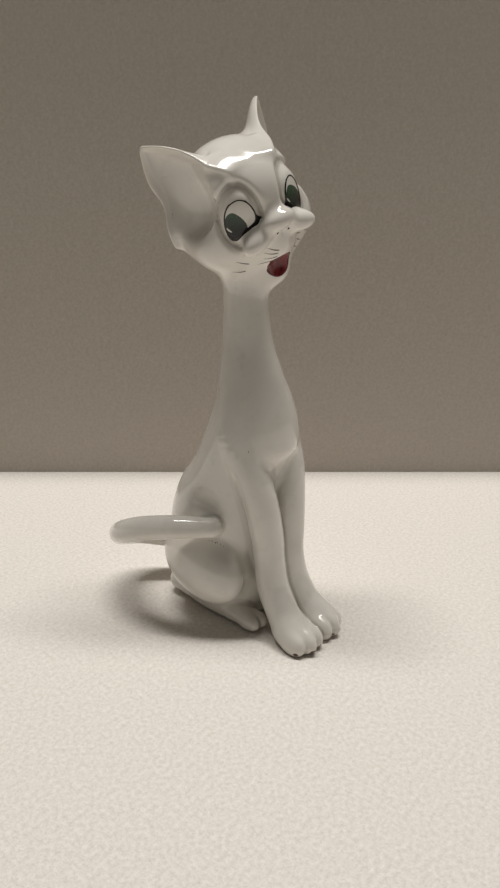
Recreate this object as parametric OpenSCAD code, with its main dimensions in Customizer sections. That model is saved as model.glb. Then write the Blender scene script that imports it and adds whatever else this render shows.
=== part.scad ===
// Seated long-necked cat figurine in slip-cast, white-glazed earthenware.
// The cat faces -Y with its right side towards -X, and stands on the plane z = 0.
// Clay pieces are luted face to face, and the colours are thin layers of fired-on enamel.

/* [Torso] */
// Height of the neck's top end above the table
neck_h = 214; // [170:1:260]
// Width of the torso at its widest
body_w = 64; // [52:1:78]
// Depth of the torso, chest to rump
body_l = 69; // [56:1:84]
// Diameter of the neck
neck_d = 23.4; // [19:0.1:28]
// Thickness of the cast wall
wall = 4.5; // [3:0.1:6]
// Diameter of the pour hole under the rump
pour_d = 12; // [6:0.5:16]

/* [Legs] */
// Thickness of a foreleg at half height
leg_d = 18; // [15:0.5:22]
// Width of a front paw
paw_w = 20.4; // [16:0.2:24]
// Length of a front paw
paw_l = 28; // [22:0.5:34]
// Bulge of a haunch, front to back
haunch_l = 59; // [46:1:68]
// Thickness of a hind foot
foot_d = 14; // [11:0.5:17]

/* [Tail] */
// Thickness of the tail at half length
tail_d = 14; // [10:0.5:17]
// How far the tail's loop reaches out sideways
tail_reach = 51; // [42:1:62]

/* [Head] */
// Width of the skull
head_w = 60; // [50:1:72]
// Turn of the head towards the cat's right
head_turn = 18; // [0:1:30]
// Tilt of the head towards the cat's right shoulder
head_tilt = 21; // [0:1:25]
// Nod of the head
head_nod = 15; // [5:1:20]
// Length of an ear from its root to its tip
ear_l = 34; // [26:1:42]
// Width of an ear along its root
ear_w = 42; // [32:1:48]
// Thickness of the ear's wall
ear_t = 3.6; // [2.6:0.1:5]

/* [Face] */
// Width of a painted eye
eye_w = 17; // [14:0.5:19]
// Height of a painted eye
eye_h = 20.5; // [17:0.5:23]
// Length of a whisker pad
pad_l = 24; // [19:0.5:27]
// Width of the open mouth
mouth_w = 17; // [13:0.5:19]
// Thickness of a layer of enamel
enamel_t = 0.4; // [0.3:0.05:0.8]

/* [Hidden] */

glaze = "whitesmoke";
right = -1;
left = 1;
big = 400;

// Scale of the modelled shape to the driving sizes
kz = neck_h / 214;
kx = body_w / 64;
ky = body_l / 69;
kn = neck_d / 23.4;
kh = head_w / 60;

// The frame's origin is under the middle of the whole figurine: between the tail and the left haunch
// in x, and between the paws and the tail in y
origin_x = (40.6 * kx - 1.015 * tail_reach - tail_d / 2) / 2;
origin_y = (75.4 * ky + 0.53 * tail_d - 45.8 * ky - paw_l / 2) / 2;

// Torso sections from the foot up: height, centre in y, half width, half depth
torso_rows = [
    [0, 17 * ky, 21 * kx, 28 * ky],
    [14 * kz, 19 * ky, 26 * kx, 31.5 * ky],
    [31 * kz, 20.5 * ky, 30 * kx, 34.5 * ky],
    [52 * kz, 20.5 * ky, 32 * kx, 34.5 * ky],
    [70 * kz, 18 * ky, 30.5 * kx, 33 * ky],
    [83 * kz, 14 * ky, 28.8 * kx, 30.8 * ky],
    [97 * kz, 7 * ky, 27 * kx, 27.6 * ky],
    [112 * kz, -0.2 * ky, 25.2 * kx, 27.6 * ky],
    [124 * kz, -2.4 * ky, 23 * kx, 25.2 * ky],
    [136 * kz, -3 * ky, 20 * kx, 21.4 * ky],
    [149 * kz, -0.8 * ky, 16.8 * kn, 17.6 * kn],
    [163 * kz, 1.6 * ky, 14 * kn, 14.4 * kn],
    [189 * kz, 3.6 * ky, 11.6 * kn, 11.6 * kn],
    [neck_h, 4 * ky, 11.9 * kn, 11.9 * kn]];

// Centre line of the right foreleg from shoulder to wrist: x, y, z, radius
kl = leg_d / 18;
foreleg_path = [
    [-16 * kx, -3 * ky, 124 * kz, 5 * kl],
    [-17 * kx, -8 * ky, 112 * kz, 9 * kl],
    [-14.8 * kx, -14.8 * ky, 97 * kz, 9.6 * kl],
    [-11.8 * kx, -18.5 * ky, 80 * kz, 9.6 * kl],
    [-9.3 * kx, -21 * ky, 60 * kz, 9.3 * kl],
    [-8.4 * kx, -22 * ky, 45 * kz, 9 * kl],
    [-8.6 * kx, -25 * ky, 30 * kz, 9.2 * kl],
    [-9.2 * kx, -31.5 * ky, 18 * kz, 9.4 * kl],
    [-9.8 * kx, -38 * ky, 11 * kz, 9.5 * kl]];
paw_at = [-10 * kx, -45.8 * ky, 6];
paw_r = [paw_w / 2, paw_l / 2, 9.8];

haunch_at = [-25 * kx, 15 * ky, 36 * kz];
haunch_r = [15.5 * kx, haunch_l / 2, 22.5 * kz];
haunch_lean = 14;

hind_foot_path = [
    [-17 * kx, 44 * ky, 9, foot_d / 2],
    [-17 * kx, 20 * ky, 7.5, foot_d / 2],
    [-16.5 * kx, 0, 6, foot_d / 2 - 0.5],
    [-15.5 * kx, -14 * ky, 5, foot_d / 2 - 1]];

// Centre line of the tail from the rump round to the flank: x, y, z, radius
kt = tail_d / 14;
reach = tail_reach;
tail_path = [
    [0, 48 * ky, 30 * kz, 8 * kt],
    [-8, 64 * ky, 29 * kz, 7.8 * kt],
    [-0.43 * reach, 75 * ky, 33 * kz, 7.5 * kt],
    [-0.77 * reach, 72 * ky, 41.5 * kz, 7.2 * kt],
    [-0.99 * reach, 55 * ky, 53 * kz, 7.2 * kt],
    [-reach, 36 * ky, 61 * kz, 7 * kt],
    [-0.84 * reach, 17 * ky, 65 * kz, 6.6 * kt],
    [-30 * kx, 2 * ky, 64 * kz, 5.8 * kt]];

// The floor is cast a little thicker than the wall, round a pour hole near the rump
floor_t = wall + 1;
pour_at = [0, 26 * ky, -1];

// Head: centre, then forms and places in its own frame with the face towards -Y
head_at = [0, 6 * ky, neck_h + 22.5];
skull_at = [0, 2, 1.5];
skull_r = [30, 29, 26.8];
cheek_at = [-14, 0, -12.5];
cheek_r = [18, 19, 15.5];
jaw_at = [0, -9, -22];
jaw_r = [15, 15, 15.5];
throat_at = [0, 0, -15];
throat_r = [16, 13.5, 15];
eye_at = [-15.3, -23.3, 6];
eye_turn = 30;
eye_rise = 6;
eyeball_at = [0, 0, -5.2];
eyeball_r = [10.6, 13.2, 6.6];
socket_at = [0.3, 0.3, 2.2];
socket_r = [11.8, 14, 5.6];
pad_at = [-11.8, -28, -6.3];
pad_droop = -18;
mouth_at = [0, -8, -25.2];
mouth_h = 13;
nostril_at = [-3.6, -32, -5.5];
nostril_r = [0.9, 1.6, 1.1];
// Right ear: middle of its root, direction down along the root, and direction its cup opens
ear_root = [-24.3, 6.3, 6.5];
ear_down = [-0.414, 0.369, -0.832];
ear_open = [-0.795, -0.591, 0.133];
ear_skew = 10.7;
ear_cup = 8.5;

// ---------- vectors, curves and skins ----------

function unit(v) = v / norm(v);
function middle(points) = [for (axis = [0:2]) sum([for (p = points) p[axis]]) / len(points)];
function sum(values, i = 0) = i >= len(values) ? 0 : values[i] + sum(values, i + 1);

// Cubic through rows whose first entry is the height
function span(rows, z, i = 0) =
    (i >= len(rows) - 2 || z < rows[i + 1][0]) ? i : span(rows, z, i + 1);
function rise(rows, i) = (rows[i + 1] - rows[i]) / (rows[i + 1][0] - rows[i][0]);
function slope(rows, i) =
    i == 0 ? rise(rows, 0) :
    i == len(rows) - 1 ? rise(rows, i - 1) :
    let (below = rows[i][0] - rows[i - 1][0], above = rows[i + 1][0] - rows[i][0])
    (rise(rows, i - 1) * above + rise(rows, i) * below) / (below + above);
function section(rows, z) =
    let (i = span(rows, z), h = rows[i + 1][0] - rows[i][0], t = (z - rows[i][0]) / h)
    rows[i] * (2 * t ^ 3 - 3 * t ^ 2 + 1) + slope(rows, i) * h * (t ^ 3 - 2 * t ^ 2 + t)
    + rows[i + 1] * (3 * t ^ 2 - 2 * t ^ 3) + slope(rows, i + 1) * h * (t ^ 3 - t ^ 2);

// Smooth path through hand-set rows of x, y, z, radius
function knot(rows, i) =
    i < 0 ? 2 * rows[0] - rows[1] :
    i >= len(rows) ? 2 * rows[len(rows) - 1] - rows[len(rows) - 2] : rows[i];
function on_path(rows, i, t) =
    let (a = knot(rows, i - 1), b = knot(rows, i), c = knot(rows, i + 1), d = knot(rows, i + 2))
    0.5 * (2 * b + (c - a) * t + (2 * a - 5 * b + 4 * c - d) * t ^ 2 + (3 * b - 3 * c + d - a) * t ^ 3);
function along(rows, steps) = concat(
    [for (i = [0:len(rows) - 2], s = [0:steps - 1]) on_path(rows, i, s / steps)],
    [rows[len(rows) - 1]]);
function place(row) = [row[0], row[1], row[2]];
function heading(path, i) =
    unit(place(path[min(i + 1, len(path) - 1)]) - place(path[max(i - 1, 0)]));
function ring(centre, direction, radius, reference, sides) =
    let (e1 = unit(cross(reference, direction)), e2 = cross(direction, e1))
    [for (k = [0:sides - 1]) centre + radius * (cos(360 * k / sides) * e1 + sin(360 * k / sides) * e2)];

// Closed skin over a list of rings, each ring turning the same way
module skin(rings) {
    n = len(rings[0]);
    m = len(rings);
    points = concat([for (r = rings, p = r) p], [middle(rings[0]), middle(rings[m - 1])]);
    sides = [for (i = [0:m - 2], k = [0:n - 1], half = [0, 1])
        let (a = i * n + k, b = i * n + (k + 1) % n)
        half == 0 ? [a, a + n, b] : [b, a + n, b + n]];
    foot = [for (k = [0:n - 1]) [m * n, k, (k + 1) % n]];
    top = [for (k = [0:n - 1]) [m * n + 1, (m - 1) * n + (k + 1) % n, (m - 1) * n + k]];
    polyhedron(points, concat(sides, foot, top), convexity = 8);
}

// Round limb along a path, with rounded ends
module limb(rows, reference, steps = 3, sides = 20) {
    path = along(rows, steps);
    last = len(path) - 1;
    start = [for (a = [75, 50, 25]) ring(place(path[0]) - heading(path, 0) * path[0][3] * sin(a),
        heading(path, 0), path[0][3] * cos(a), reference, sides)];
    run = [for (i = [0:last]) ring(place(path[i]), heading(path, i), path[i][3], reference, sides)];
    end = [for (a = [25, 50, 75]) ring(place(path[last]) + heading(path, last) * path[last][3] * sin(a),
        heading(path, last), path[last][3] * cos(a), reference, sides)];
    skin(concat(start, run, end));
}

module ball(at, radii, detail = 28) {
    translate(at) scale(radii) sphere(r = 1, $fn = detail);
}

// Free-form skins are joined and cut as one mesh
module one_mesh() {
    resize([0, 0, 0]) children();
}

module side(which) {
    if (which == left) mirror([1, 0, 0]) children();
    else children();
}

module below_table() {
    translate([-big / 2, -big / 2, -big]) cube(big);
}

module framed() {
    translate([-origin_x, -origin_y, 0]) children();
}

// ---------- clay forms, before they are cut to meet ----------

module torso_form(inset = 0, from = 0, to = neck_h, levels = 34, sides = 32) {
    skin([for (i = [0:levels])
        let (z = from + (to - from) * i / levels, s = section(torso_rows, z))
        [for (k = [0:sides - 1])
            [(s[2] - inset) * cos(360 * k / sides), s[1] + (s[3] - inset) * sin(360 * k / sides), z]]]);
}

module foreleg_form() {
    limb(foreleg_path, [1, 0, 0]);
    ball(paw_at, paw_r);
}

module haunch_form() {
    translate(haunch_at) rotate([haunch_lean, 0, 0]) scale(haunch_r) sphere(r = 1, $fn = 32);
}

module hind_foot_form() {
    limb(hind_foot_path, [1, 0, 0], 3, 16);
}

module tail_form() {
    limb(tail_path, [0, 0, 1], 3, 18);
}

module in_head() {
    translate(head_at) rotate([0, 0, -head_turn]) rotate([0, -head_tilt, 0]) rotate([head_nod, 0, 0])
        scale(kh) children();
}

// Frame of an eye: x towards the nose, y up, z out of the face; drawn for the right eye
module in_eye() {
    translate(eye_at)
        rotate([0, 0, -eye_turn]) rotate([90 + eye_rise, 0, 0]) children();
}

module skull_form(grow = 0) {
    ball(skull_at, skull_r + grow * [1, 1, 1], 36);
    for (s = [right, left]) side(s) ball(cheek_at, cheek_r + grow * [1, 1, 1], 24);
    ball(jaw_at, jaw_r + grow * [1, 1, 1], 22);
}

module eyeball_form(grow = 0) {
    in_eye() ball(eyeball_at, eyeball_r + grow * [1, 1, 1], 32);
}

module socketed_skull() {
    difference() {
        skull_form();
        for (s = [right, left]) side(s) in_eye() ball(socket_at, socket_r, 26);
    }
}

module face_form() {
    socketed_skull();
    for (s = [right, left]) side(s) eyeball_form();
}

module muzzle_form(grow = 0) {
    for (s = [right, left]) side(s)
        translate(pad_at) rotate([0, pad_droop, 0])
            scale([pad_l / 2, 6.2, 5.6] + grow * [1, 1, 1]) sphere(r = 1, $fn = 20);
    ball([0, -31, 3], [7.5, 6.5, 6] + grow * [1, 1, 1], 20);
    ball([0, -24, -11], [10, 9.5, 13] + grow * [1, 1, 1], 20);
}

module chin_form(grow = 0) {
    ball([0, -17, -32], [9.5, 8.5, 8] + grow * [1, 1, 1], 20);
}

// Cupped ear: a leaf-shaped shell, hollowed towards its open face; drawn for the right ear
module ear_form(rows = 12, cols = 12) {
    up = unit(cross(ear_down, ear_open));
    skin([for (i = [0:rows])
        let (u = -9 + (ear_l + 9) * (1 - (1 - i / rows) ^ 1.3), t = u / ear_l,
             top = -ear_w / 2 + (ear_w / 2 - ear_skew) * t,
             low = ear_w / 2 - (ear_w / 2 + ear_skew) * t,
             mid = (top + low) / 2, half = max((low - top) / 2, 1),
             centre = ear_root + up * u + ear_down * mid)
        concat(
            [for (k = [cols:-1:0]) let (w = 2 * k / cols - 1) centre + ear_down * half * w
                + ear_open * (ear_t / 2 * sqrt(1.05 - w * w) - ear_cup * (1 - w * w) * half * 2 / ear_w)],
            [for (k = [0:cols]) let (w = 2 * k / cols - 1) centre + ear_down * half * w
                + ear_open * (-ear_t / 2 * sqrt(1.05 - w * w) - ear_cup * (1 - w * w) * half * 2 / ear_w)])]);
}

// ---------- painted outlines ----------

// Dome-topped eye with a slanting lower lid; x runs towards the nose
module eye_outline_2d(inset = 0) {
    offset(delta = -inset) hull() {
        translate([0, 1.6]) scale([eye_w / 2 - 0.4, eye_h / 2 - 1.4]) circle(r = 1, $fn = 36);
        translate([-0.36 * eye_w, -0.45 * eye_h]) circle(r = 0.6, $fn = 12);
        translate([0.42 * eye_w, -0.27 * eye_h]) circle(r = 0.6, $fn = 12);
    }
}

// Both eyes look to the cat's right: away from the nose in one, towards it in the other
function gaze(which) = (which == right ? -0.18 : 0.07) * eye_w;

module iris_2d(which) {
    intersection() {
        eye_outline_2d(1);
        translate([gaze(which), -0.22 * eye_h]) scale([0.32 * eye_w, 0.42 * eye_h]) circle(r = 1, $fn = 32);
    }
}

// A layer of enamel on the eyeball, where the outline falls on it; coat 1 lies on the glaze
module eye_layer(coat = 1) {
    intersection() {
        difference() {
            eyeball_form(coat * enamel_t);
            eyeball_form((coat - 1) * enamel_t);
        }
        in_eye() translate(eyeball_at) linear_extrude(2 * eyeball_r[2]) children();
    }
}

module eye_outline_form() {
    eye_layer() difference() {
        eye_outline_2d();
        eye_outline_2d(1);
    }
}

module catchlight_form(which) {
    eye_layer(2)
        translate([gaze(which) - 0.04 * eye_w, -0.26 * eye_h]) rotate(-35) scale([1.6, 0.45]) circle(r = 1, $fn = 16);
}

// Strokes of the whisker brush on the right cheek: start, end in x and z as seen from the front
whisker_strokes = [
    [[-4, -13], [-10.5, -12]],
    [[-4, -15], [-11, -15.5]],
    [[-4.5, -17], [-11.5, -19]],
    [[-6, -19.5], [-13.5, -23.5]],
    [[-16, -22], [-22, -20.5]],
    [[-15, -26], [-21.5, -26.5]]];

stroke_w = 0.5;

module whisker_blades() {
    for (s = [right, left]) side(s) for (w = whisker_strokes) {
        run = w[1] - w[0];
        translate([w[0][0], -skull_r[1], w[0][1]]) rotate([0, -atan2(run[1], run[0]), 0])
            translate([0, -skull_r[1] / 2, -stroke_w / 2]) cube([norm(run), skull_r[1], stroke_w]);
    }
}

module mouth_2d() {
    scale([mouth_w / 2, mouth_h / 2]) circle(r = 1, $fn = 40);
}

// ---------- pieces ----------

module body() {
    color(glaze) framed() difference() {
        one_mesh() difference() {
            torso_form();
            torso_form(wall, floor_t, neck_h + 1, 26, 24);
        }
        translate(pour_at) cylinder(d = pour_d, h = floor_t + 3, $fn = 48);
    }
}

module head() {
    color(glaze) framed() one_mesh() difference() {
        in_head() face_form();
        in_head() union() {
            ball(skull_at + [0, 2, 0], skull_r - floor_t * [1, 1, 1], 20);
            ball(throat_at, throat_r, 16);
        }
        torso_form();
    }
}

module ear(which) {
    color(glaze) framed() one_mesh() difference() {
        in_head() side(which) ear_form();
        in_head() hull() skull_form();
    }
}

module ear_right() { ear(right); }
module ear_left() { ear(left); }

module muzzle() {
    color(glaze) framed() one_mesh() difference() {
        in_head() muzzle_form();
        in_head() face_form();
    }
}

module chin() {
    color(glaze) framed() one_mesh() difference() {
        in_head() chin_form();
        in_head() skull_form();
        in_head() muzzle_form();
        torso_form();
    }
}

module foreleg(which) {
    color(glaze) framed() one_mesh() side(which) difference() {
        foreleg_form();
        torso_form();
        translate([0, -big / 2, -big / 2]) cube(big);
        below_table();
    }
}

module foreleg_right() { foreleg(right); }
module foreleg_left() { foreleg(left); }

module haunch(which) {
    color(glaze) framed() one_mesh() side(which) difference() {
        haunch_form();
        torso_form();
        foreleg_form();
        below_table();
    }
}

module haunch_right() { haunch(right); }
module haunch_left() { haunch(left); }

module hind_foot(which) {
    color(glaze) framed() one_mesh() side(which) difference() {
        hind_foot_form();
        torso_form();
        haunch_form();
        foreleg_form();
        below_table();
    }
}

module hind_foot_right() { hind_foot(right); }
module hind_foot_left() { hind_foot(left); }

module tail() {
    color(glaze) framed() one_mesh() difference() {
        tail_form();
        torso_form();
        haunch_form();
    }
}

module eye_outline(which) {
    color("black") framed() one_mesh() difference() {
        in_head() side(which) eye_outline_form();
        in_head() muzzle_form();
        in_head() socketed_skull();
    }
}

module eye_outline_right() { eye_outline(right); }
module eye_outline_left() { eye_outline(left); }

module iris(which) {
    color("darkgreen") framed() one_mesh() difference() {
        in_head() side(which) eye_layer() iris_2d(which);
        in_head() muzzle_form();
        in_head() socketed_skull();
    }
}

module iris_right() { iris(right); }
module iris_left() { iris(left); }

module catchlights() {
    color("white") framed() one_mesh() in_head()
        for (s = [right, left]) side(s) catchlight_form(s);
}

module mouth_enamel() {
    color("darkred") framed() one_mesh() intersection() {
        difference() {
            in_head() union() {
                muzzle_form(enamel_t);
                chin_form(enamel_t);
                skull_form(enamel_t);
            }
            in_head() union() {
                muzzle_form();
                chin_form();
                skull_form();
            }
        }
        in_head() translate(mouth_at) rotate([90, 0, 0]) linear_extrude(skull_r[1]) mouth_2d();
    }
}

module nostrils() {
    color("black") framed() one_mesh() in_head() difference() {
        for (s = [right, left]) side(s)
            ball(nostril_at, nostril_r, 16);
        muzzle_form();
        skull_form();
    }
}

module whiskers() {
    color("dimgray") framed() one_mesh() intersection() {
        difference() {
            in_head() union() {
                muzzle_form(enamel_t);
                skull_form(enamel_t);
            }
            in_head() union() {
                muzzle_form();
                skull_form();
            }
        }
        in_head() whisker_blades();
    }
}

body();
head();
ear_right();
ear_left();
muzzle();
chin();
foreleg_right();
foreleg_left();
haunch_right();
haunch_left();
hind_foot_right();
hind_foot_left();
tail();
eye_outline_right();
eye_outline_left();
iris_right();
iris_left();
catchlights();
mouth_enamel();
nostrils();
whiskers();
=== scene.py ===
# %% [markdown]
# # A seated cat in white glazed earthenware
#
# The real figurine is a slip casting. A hollow body with a very long neck comes out of one mould, the
# head out of another, and the ears, legs and tail are joined to them with slip while the clay is soft.
# It is dipped in opaque white glaze, fired, and the eyes, mouth and whiskers are painted in enamel.
#
# This lesson rebuilds it around a fixed CAD frame. The frame says how big it is and where each piece
# sits. Blender's job is the surface: soft clay joints, toes, cupped ears, and paint that lies on glaze.

# %% Load the frame
import math

import bpy
import numpy as np
from mathutils import Matrix, Vector


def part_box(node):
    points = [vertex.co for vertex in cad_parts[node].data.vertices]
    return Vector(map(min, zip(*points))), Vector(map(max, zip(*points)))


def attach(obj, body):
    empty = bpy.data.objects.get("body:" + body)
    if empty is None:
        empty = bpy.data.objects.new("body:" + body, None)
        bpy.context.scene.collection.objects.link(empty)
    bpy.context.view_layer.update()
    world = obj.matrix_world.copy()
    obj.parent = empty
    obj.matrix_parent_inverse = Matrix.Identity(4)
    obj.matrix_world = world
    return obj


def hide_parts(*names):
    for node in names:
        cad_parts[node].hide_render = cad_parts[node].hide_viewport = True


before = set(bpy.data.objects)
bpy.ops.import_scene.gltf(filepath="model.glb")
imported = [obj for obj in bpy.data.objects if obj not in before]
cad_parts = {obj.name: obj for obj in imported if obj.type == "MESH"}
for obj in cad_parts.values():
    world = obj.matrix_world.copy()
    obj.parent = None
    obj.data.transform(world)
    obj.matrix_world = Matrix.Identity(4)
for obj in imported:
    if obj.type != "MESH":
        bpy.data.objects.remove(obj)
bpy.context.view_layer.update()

# %% [markdown]
# ## A maker's ruler
#
# A ceramicist would measure this cat from the axis of its neck, in millimetres. The frame measures
# from the middle of the whole figurine, in metres. The casting called "body" links the two: it is
# as wide on one side of the axis as on the other, and its height gives the size of a millimetre.
# All the sculpting below is in the maker's millimetres, and one function carries points to the frame.

# %% From the maker's millimetres to the frame
body_low, body_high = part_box("body")
NECK_TOP = 214.0
RUMP_BACK = 55.0
MM = (body_high.z - body_low.z) / NECK_TOP
AXIS = np.array([(body_low.x + body_high.x) / 2, body_high.y - RUMP_BACK * MM, body_low.z])


def to_frame(points):
    return np.asarray(points, float) * MM + AXIS


print("one millimetre is", round(MM, 6), "m; the neck's axis is at", AXIS.round(4))

# %% [markdown]
# ## Clay as a distance field
#
# Soft clay has no sharp inner corners: where a leg is pressed on to a chest, slip fills the joint to
# a fillet. Subdivision modelling can do this, but each fillet is then a patch of hand-placed edges.
# A distance field does it with one sum. Each form is a function that gives every point in space its
# distance to the form's skin, below zero inside. The smaller of two distances joins two forms, and
# rounding that minimum over a few millimetres is the fillet of slip.

# %% Joining and cutting
def size(vectors):
    return np.sqrt((vectors * vectors).sum(-1))


def join(a, b, fillet):
    near = np.maximum(fillet - np.abs(a - b), 0) / fillet
    return np.minimum(a, b) - near * near * fillet / 4


def cut(a, tool, rounding):
    return -join(-a, tool, rounding)


def turned(axis, degrees):
    c, s = math.cos(math.radians(degrees)), math.sin(math.radians(degrees))
    rows = {"x": [[1, 0, 0], [0, c, -s], [0, s, c]],
            "y": [[c, 0, s], [0, 1, 0], [-s, 0, c]],
            "z": [[c, -s, 0], [s, c, 0], [0, 0, 1]]}[axis]
    return np.array(rows, np.float32)


def mirrored(points, side):
    """Points seen from the right-hand side of the cat: side is -1 for its right and 1 for its left."""
    return points * np.array([-side, 1, 1], np.float32)


RIGHT, LEFT = -1, 1

# %% Balls, limbs and turned forms
def ball(points, centre, radii, axes=None):
    q = points - np.array(centre, np.float32)
    if axes is not None:
        q = q @ axes
    r = np.array(radii, np.float32)
    near, steep = size(q / r), size(q / (r * r))
    return near * (near - 1) / np.maximum(steep, 1e-6)


def smooth_path(rows, steps):
    """A curve through given rows, with the radius as the last column."""
    p = np.array(rows, float)
    p = np.vstack([2 * p[0] - p[1], p, 2 * p[-1] - p[-2]])
    out = []
    for i in range(1, len(p) - 2):
        a, b, c, d = p[i - 1:i + 3]
        for t in np.arange(steps) / steps:
            out.append((2 * b + (c - a) * t + (2 * a - 5 * b + 4 * c - d) * t ** 2
                        + (3 * b - 3 * c + d - a) * t ** 3) / 2)
    return np.array(out + [p[-2]], np.float32)


FAR = 13.0      # no joint is wider than this, so a limb farther off than this needs no measuring


def limb(points, rows, steps=4):
    path = smooth_path(rows, steps)
    reach = path[:, 3].max() + FAR
    close = np.all((points > path[:, :3].min(0) - reach) & (points < path[:, :3].max(0) + reach), -1)
    near_points = points[close]
    nearest = np.full(len(near_points), 1e9, np.float32)
    for a, b in zip(path[:-1], path[1:]):
        run = b[:3] - a[:3]
        q = near_points - a[:3]
        t = np.clip((q @ run) / (run @ run), 0, 1)
        nearest = np.minimum(nearest, size(q - t[:, None] * run) - (a[3] + t * (b[3] - a[3])))
    distance = np.full(len(points), FAR, np.float32)
    distance[close] = nearest
    return distance


def profile(rows, at):
    """Values between stations: each row is the station, then its values."""
    rows = np.array(rows, float)
    x, y = rows[:, 0], rows[:, 1:]
    gap = np.diff(x)
    rise = np.diff(y, axis=0) / gap[:, None]
    slope = np.vstack([rise[:1], (rise[:-1] * gap[1:, None] + rise[1:] * gap[:-1, None])
                       / (gap[:-1] + gap[1:])[:, None], rise[-1:]])
    at = np.clip(at, x[0], x[-1])
    i = np.clip(np.searchsorted(x, at) - 1, 0, len(gap) - 1)
    h = gap[i][:, None]
    t = ((at - x[i]) / gap[i])[:, None]
    a, b, c, d = y[i], y[i + 1], slope[i] * h, slope[i + 1] * h
    curved = (2 * a - 2 * b + c + d) * t + 3 * b - 3 * a - 2 * c - d
    return (curved * t * t + c * t + a).astype(np.float32)


def turned_form(points, rows):
    """An upright form with oval sections: height, centre in y, half width, half depth."""
    z = points[:, 2]
    s = profile(rows, z)
    x, y = points[:, 0] / s[:, 1], (points[:, 1] - s[:, 0]) / s[:, 2]
    near = np.sqrt(x * x + y * y)
    steep = np.sqrt((x / s[:, 1]) ** 2 + (y / s[:, 2]) ** 2)
    above = profile(rows, z + 1)
    flare = np.abs(above[:, 1:] - s[:, 1:]).max(-1)
    return near * (near - 1) / np.maximum(steep, 1e-5) / np.sqrt(1 + flare * flare)

# %% [markdown]
# ## Torso, legs and haunches
#
# The torso and neck are one casting, so they are one upright form with oval sections. It is widest
# at the haunches, leans forward to the chest, and then runs up into the neck. The forelegs are limbs
# whose radius changes along a smooth path. They stand together, so a groove is left between them.

# %% How wide each joint is smoothed, in millimetres
FILLET = {
    "toe to toe": 1.6, "toes to paw": 2.6, "paw to leg": 7, "hind toe to toe": 1.4, "hind toes to foot": 3,
    "haunch to torso": 6, "leg to leg": 2, "legs to torso": 4, "hind foot to haunch": 3.5,
    "tail to flank": 2.5, "cheek to skull": 14, "brow to skull": 9, "jowl to skull": 10,
    "jaw to skull": 12, "pad to nose": 4, "pads to lip": 3.5, "muzzle to skull": 5, "chin to jaw": 6,
    "ear to skull": 9, "head to neck": 9}

# %% Torso and neck
TORSO = [
    (-10, 17, 19, 26), (0, 17, 21, 28), (14, 19, 26, 31.5), (31, 20.5, 30, 34.5),
    (52, 20.5, 32, 34.5), (70, 18, 30.5, 33), (83, 14, 28.8, 30.8), (97, 7, 27, 27.6),
    (112, -0.2, 25.2, 27.6), (124, -2.4, 23, 25.2), (136, -3, 20, 21.4), (149, -0.8, 16.8, 17.6),
    (163, 1.6, 14, 14.4), (189, 3.6, 11.6, 11.6), (230, 4, 12.2, 12.2)]
NECK_END = 222
NECK_END_ROUNDING = 10
FOOT_ROUNDING = 6


def torso(points):
    form = turned_form(points, TORSO)
    form = cut(form, points[:, 2], FOOT_ROUNDING)
    return cut(form, NECK_END - points[:, 2], NECK_END_ROUNDING)


# %% Forelegs and their paws
FORELEG = [
    (-16, -3, 124, 5), (-17, -8, 112, 9), (-14.8, -14.8, 97, 9.6), (-11.8, -18.5, 80, 9.6),
    (-9.3, -21, 60, 9.3), (-8.4, -22, 45, 9), (-8.6, -25, 30, 9.2), (-9.2, -31.5, 18, 9.4),
    (-10.2, -38, 11, 9.2)]
TOES = {RIGHT: [(-17.6, -47.6, 5.4), (-12, -51.2, 6), (-5.2, -50.4, 5.8)],
        LEFT: [(-16.2, -47.8, 5.4), (-10, -51.4, 6), (-3.9, -50.2, 5.8)]}
TOE_RADII = (4.7, 8.2, 7.2)
PAW = ((-10.8, -44, 6.2), (9.6, 12.6, 9.4))


def foreleg(points, side):
    q = mirrored(points, side)
    toes = [ball(q, at, TOE_RADII) for at in TOES[side]]
    pads = join(join(toes[0], toes[1], FILLET["toe to toe"]), toes[2], FILLET["toe to toe"])
    paw = join(ball(q, *PAW), pads, FILLET["toes to paw"])
    return join(limb(q, FORELEG), paw, FILLET["paw to leg"])


# %% Haunches and hind feet
HIND_FOOT = [(-17, 44, 9, 7), (-17, 20, 7.5, 7), (-16.5, 0, 6, 6.5), (-15.8, -12, 5.2, 6)]
HIND_TOES = [(-18.2, -15.5, 4.6), (-12.4, -16.5, 4.6)]
HIND_TOE_RADII = (3.9, 7, 5)
HAUNCH = ((-25, 15, 36), (15.5, 29.5, 22.5))
HAUNCH_LEAN = turned("x", 14)


def haunch(points, side):
    return ball(mirrored(points, side), *HAUNCH, HAUNCH_LEAN)


def hind_foot(points, side):
    q = mirrored(points, side)
    outer, inner = [ball(q, at, HIND_TOE_RADII) for at in HIND_TOES]
    toes = join(outer, inner, FILLET["hind toe to toe"])
    return join(limb(q, HIND_FOOT), toes, FILLET["hind toes to foot"])

# %% [markdown]
# ## Tail
#
# A rolled coil of clay, luted to the rump at its thick end. It swings out behind the cat, comes
# round its right side and is pressed on to the flank, just above the haunch.

# %% Tail
TAIL = [
    (0, 50, 30, 8), (-8, 64, 29, 7.8), (-22, 75, 32.5, 7.5), (-39, 72, 40, 7.2),
    (-50.5, 55, 52, 7.2), (-51, 36, 61.5, 7), (-43, 17, 66, 6.6), (-31, 1, 66.5, 5.6)]


def tail(points):
    return limb(points, TAIL, 5)

# %% [markdown]
# ## Head
#
# The head is its own casting, turned and tilted on the neck, so it is sculpted upright in a frame of
# its own and set at that angle as a whole. The skull is a ball with two full cheeks and a narrow jaw.
# Each eye is a low dome that rises out of a pressed socket, which leaves the bevel round the eye.

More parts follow.
